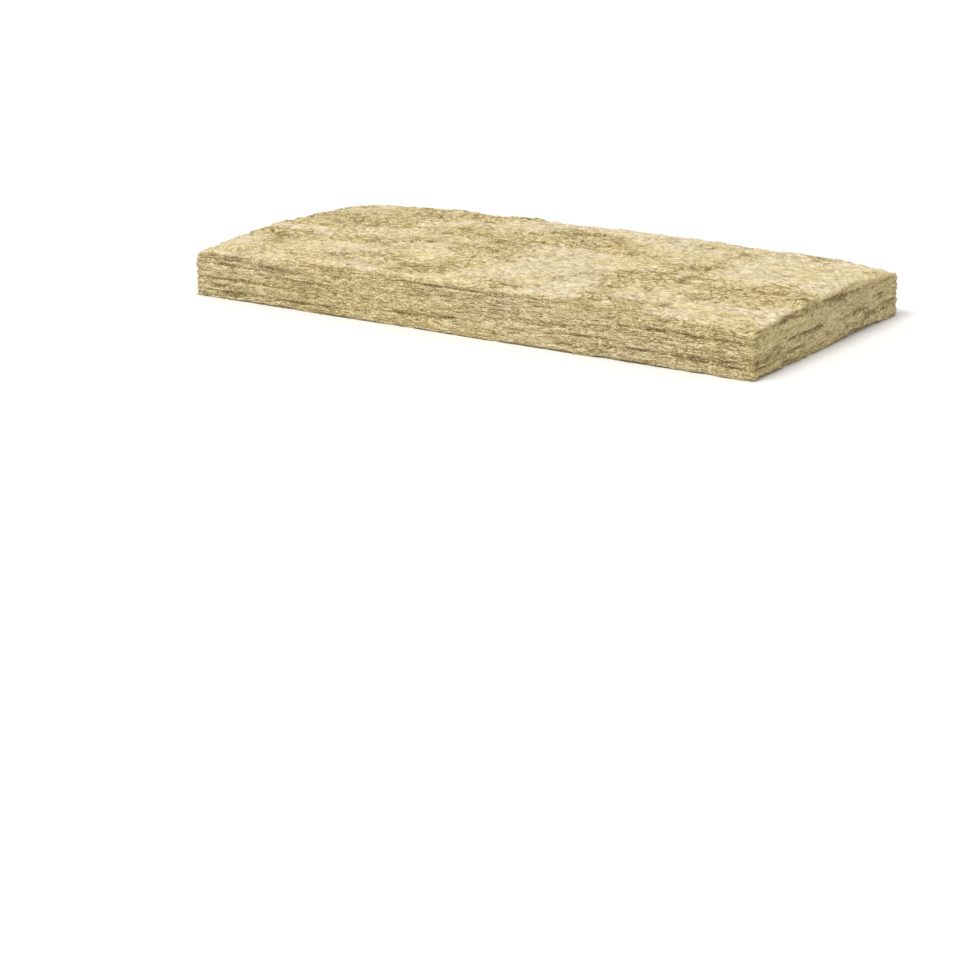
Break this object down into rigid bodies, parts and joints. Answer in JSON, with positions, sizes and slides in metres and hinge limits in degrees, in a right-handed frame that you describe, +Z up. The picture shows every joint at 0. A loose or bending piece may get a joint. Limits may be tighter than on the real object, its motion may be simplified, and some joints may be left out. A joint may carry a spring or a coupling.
{
  "type": "glass wool batt",
  "caption": "Flat rectangular slab of mineral fibre insulation with sawn sides and a softly crowned upper face pinched at its corners.",
  "frame": {"origin": "middle of the underside, at floor level", "axes": "+X along the length, +Y across the width, +Z up through the thickness"},
  "size_m": [1.17, 0.565, 0.1],
  "materials": {
    "wool": "matte pale straw-coloured mineral fibre felted in layers, rough and slightly fluffy, browner on the sawn sides"
  },
  "bodies": {
    "root": {"batt": "wool"}
  },
  "joints": []
}
